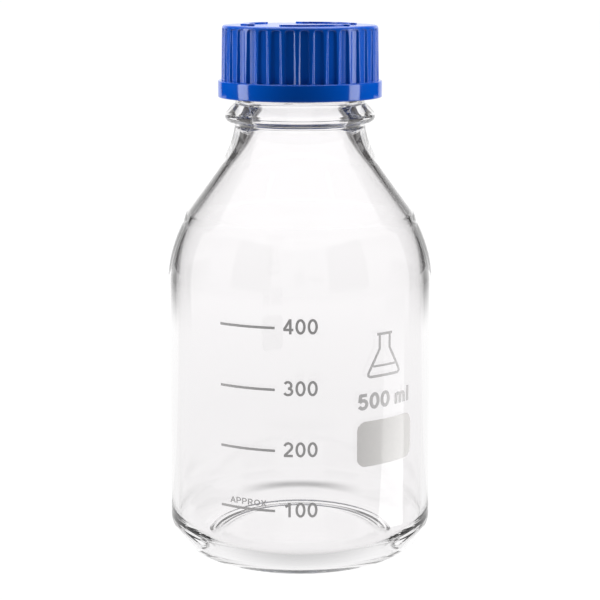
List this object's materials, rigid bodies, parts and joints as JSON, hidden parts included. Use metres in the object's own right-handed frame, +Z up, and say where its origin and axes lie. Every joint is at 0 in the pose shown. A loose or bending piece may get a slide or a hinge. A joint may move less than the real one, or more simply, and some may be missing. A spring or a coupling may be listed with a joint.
{
  "type": "laboratory reagent bottle",
  "caption": "Clear glass laboratory bottle with graduation marks, a threaded neck with a pouring ring, and a blue fluted screw cap.",
  "frame": {"origin": "centre of the foot, on the surface that the bottle stands on", "axes": "+Z up along the bottle's axis; the enamel marks face -Y, with the writing panel towards +X"},
  "size_m": [0.086, 0.0863, 0.1716],
  "materials": {
    "clear_glass": "polished",
    "blue_plastic": "gloss",
    "ring_plastic": "satin",
    "liner_rubber": "matte",
    "grey_enamel": "satin",
    "panel_enamel": "satin"
  },
  "bodies": {
    "bottle": {"glass_bottle": "clear_glass", "pouring_ring": "ring_plastic", "line_100": "grey_enamel", "line_200": "grey_enamel", "line_300": "grey_enamel", "line_400": "grey_enamel", "numeral_100_1": "grey_enamel", "numeral_100_2": "grey_enamel", "numeral_100_3": "grey_enamel", "numeral_200_1": "grey_enamel", "numeral_200_2": "grey_enamel", "numeral_200_3": "grey_enamel", "numeral_300_1": "grey_enamel", "numeral_300_2": "grey_enamel", "numeral_300_3": "grey_enamel", "numeral_400_1": "grey_enamel", "numeral_400_2": "grey_enamel", "numeral_400_3": "grey_enamel", "capacity_digit_1": "grey_enamel", "capacity_digit_2": "grey_enamel", "capacity_digit_3": "grey_enamel", "capacity_letter_m": "grey_enamel", "capacity_letter_l": "grey_enamel", "writing_panel": "panel_enamel", "flask_symbol": "grey_enamel"},
    "liner": {"cap_liner": "liner_rubber"},
    "cap": {"screw_cap": "blue_plastic"}
  },
  "joints": [
    {"name": "cap_rise", "type": "slide", "parent": "bottle", "child": "liner", "axis": [0, 0, 1], "range_m": [0, 0.026]},
    {"name": "cap_turn", "type": "hinge", "parent": "liner", "child": "cap", "pos_m": [0, 0, 0.16], "axis": [0, 0, 1], "range_deg": [0, 2340]}
  ],
  "couplings": [
    {"joint": "cap_rise", "follows": "cap_turn", "m_per_rad": 0.00063662}
  ]
}
